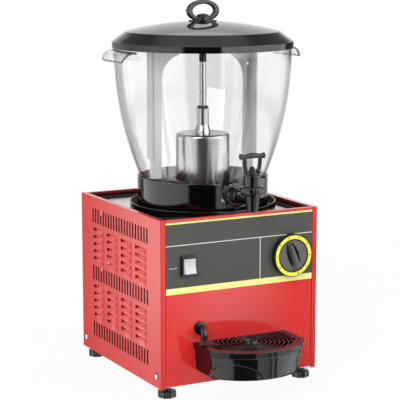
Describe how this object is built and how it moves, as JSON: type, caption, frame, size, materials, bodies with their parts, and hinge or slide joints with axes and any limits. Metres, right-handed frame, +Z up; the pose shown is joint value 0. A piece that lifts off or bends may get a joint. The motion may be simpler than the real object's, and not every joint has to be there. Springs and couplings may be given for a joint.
{
  "type": "refrigerated drink dispenser",
  "caption": "Countertop drink cooler: red vented cabinet, clear bowl round a chilled cylinder with a rotating stirrer, lid, lever tap, drip tray and controls.",
  "frame": {"origin": "on the floor, under the middle of the outline's bounding box", "axes": "+Z up, -Y to the front with the tap and the controls, +X to the right seen from the front"},
  "size_m": [0.3064, 0.391, 0.5671],
  "materials": {
    "red_sheet": "gloss powder coat",
    "zinc_sheet": "zinc-plated sheet",
    "zinc_screws": "zinc plated",
    "foot_plastic": "moulded",
    "label_film": "printed film",
    "black_plastic": "polished moulding",
    "rocker_plastic": "translucent",
    "knob_plastic": "moulded with a printed ring",
    "grey_casting": "painted",
    "stainless": "polished",
    "clear_plastic": "clear",
    "pale_rubber": "matte",
    "black_rubber": "matte",
    "bronze": "machined",
    "copper": "drawn tube",
    "foam": "matte foam",
    "black_steel": "painted",
    "aluminium_fins": "mill",
    "white_plastic": "moulded"
  },
  "bodies": {
    "base": {"left_side_panel": "red_sheet", "right_side_panel": "red_sheet", "front_panel": "red_sheet", "back_panel": "red_sheet", "base_pan": "zinc_sheet", "top_plate": "zinc_sheet", "fan_shroud": "zinc_sheet", "panel_screws": "zinc_screws", "foot_nuts": "zinc_screws", "gearbox_spacers": "zinc_screws", "control_label": "label_film", "switch_housing": "black_plastic", "drain_elbow": "black_plastic", "base_dish": "black_plastic", "bowl_collar": "black_plastic", "electrical_inlet": "black_plastic", "gearbox_housing": "grey_casting", "drive_motor": "grey_casting", "fan_motor": "grey_casting", "thermostat_body": "grey_casting", "evaporator_cylinder": "stainless", "shaft_guide": "stainless", "drain_hose": "pale_rubber", "shaft_seal": "black_rubber", "compressor_grommets": "black_rubber", "shaft_bushes": "bronze", "evaporator_coil": "copper", "refrigerant_lines": "copper", "foam_core": "foam", "compressor": "black_steel", "condenser": "aluminium_fins"},
    "bowl": {"bowl": "clear_plastic", "bowl_gasket": "pale_rubber", "tap_body": "black_plastic", "tap_washer": "pale_rubber", "tap_lock_nut": "black_plastic", "tap_bonnet": "black_plastic", "tap_bonnet_nut": "black_plastic", "valve_spring": "stainless"},
    "lid": {"lid": "black_plastic", "lid_handle": "black_plastic", "lid_screw": "zinc_screws"},
    "valve": {"valve_stem": "black_plastic", "valve_cup": "pale_rubber"},
    "lever": {"tap_lever": "black_plastic"},
    "shaft": {"drive_shaft": "stainless", "worm_wheel": "bronze"},
    "stirrer": {"stirrer_hub": "black_plastic", "stirrer_frame": "stainless"},
    "worm": {"worm": "stainless"},
    "knob": {"thermostat_knob": "knob_plastic", "thermostat_shaft": "stainless"},
    "rocker": {"switch_rocker": "rocker_plastic"},
    "tray": {"drip_tray": "black_plastic"},
    "grille": {"drip_grille": "black_plastic"},
    "fan": {"fan_blades": "white_plastic"},
    "foot_front_left": {"foot_front_left": "foot_plastic"},
    "foot_front_right": {"foot_front_right": "foot_plastic"},
    "foot_back_left": {"foot_back_left": "foot_plastic"},
    "foot_back_right": {"foot_back_right": "foot_plastic"}
  },
  "joints": [
    {"name": "bowl_lift", "type": "slide", "parent": "base", "child": "bowl", "axis": [0, 0, 1], "range_m": [0, 0.25]},
    {"name": "lid_lift", "type": "slide", "parent": "bowl", "child": "lid", "axis": [0, 0, 1], "range_m": [0, 0.15]},
    {"name": "valve_lift", "type": "slide", "parent": "bowl", "child": "valve", "axis": [0, 0, 1], "range_m": [0, 0.005], "stiffness_N_per_m": 400, "springref_m": -0.004, "deforming": ["valve_spring"]},
    {"name": "lever_tilt", "type": "hinge", "parent": "valve", "child": "lever", "pos_m": [0, -0.131, 0.3291], "axis": [1, 0, 0], "range_deg": [0, 60]},
    {"name": "shaft_spin", "type": "hinge", "parent": "base", "child": "shaft", "pos_m": [0, 0.02, 0.2103], "axis": [0, 0, 1], "continuous": true},
    {"name": "stirrer_spin", "type": "hinge", "parent": "bowl", "child": "stirrer", "pos_m": [0, 0.02, 0.475], "axis": [0, 0, 1], "continuous": true},
    {"name": "worm_spin", "type": "hinge", "parent": "base", "child": "worm", "pos_m": [0, 0.0488, 0.2103], "axis": [1, 0, 0], "continuous": true},
    {"name": "knob_turn", "type": "hinge", "parent": "base", "child": "knob", "pos_m": [0.084, -0.0989, 0.1945], "axis": [0, 1, 0], "range_deg": [0, 300]},
    {"name": "rocker_rock", "type": "hinge", "parent": "base", "child": "rocker", "pos_m": [-0.0865, -0.1014, 0.1945], "axis": [1, 0, 0], "range_deg": [0, 14]},
    {"name": "tray_pull", "type": "slide", "parent": "base", "child": "tray", "axis": [0, -1, 0], "range_m": [0, 0.1]},
    {"name": "grille_lift", "type": "slide", "parent": "tray", "child": "grille", "axis": [0, 0, 1], "range_m": [0, 0.08]},
    {"name": "fan_spin", "type": "hinge", "parent": "base", "child": "fan", "pos_m": [0.0703, 0.0515, 0.0907], "axis": [1, 0, 0], "continuous": true},
    {"name": "foot_front_left_turn", "type": "hinge", "parent": "base", "child": "foot_front_left", "pos_m": [-0.113, -0.0835, 0.016], "axis": [0, 0, 1], "continuous": true},
    {"name": "foot_front_right_turn", "type": "hinge", "parent": "base", "child": "foot_front_right", "pos_m": [0.113, -0.0835, 0.016], "axis": [0, 0, 1], "continuous": true},
    {"name": "foot_back_left_turn", "type": "hinge", "parent": "base", "child": "foot_back_left", "pos_m": [-0.113, 0.1665, 0.016], "axis": [0, 0, 1], "continuous": true},
    {"name": "foot_back_right_turn", "type": "hinge", "parent": "base", "child": "foot_back_right", "pos_m": [0.113, 0.1665, 0.016], "axis": [0, 0, 1], "continuous": true}
  ],
  "couplings": [
    {"joint": "lever_tilt", "follows": "valve_lift", "rad_per_m": 209.44},
    {"joint": "shaft_spin", "follows": "worm_spin", "ratio": 0.033333},
    {"joint": "stirrer_spin", "follows": "worm_spin", "ratio": 0.033333}
  ]
}
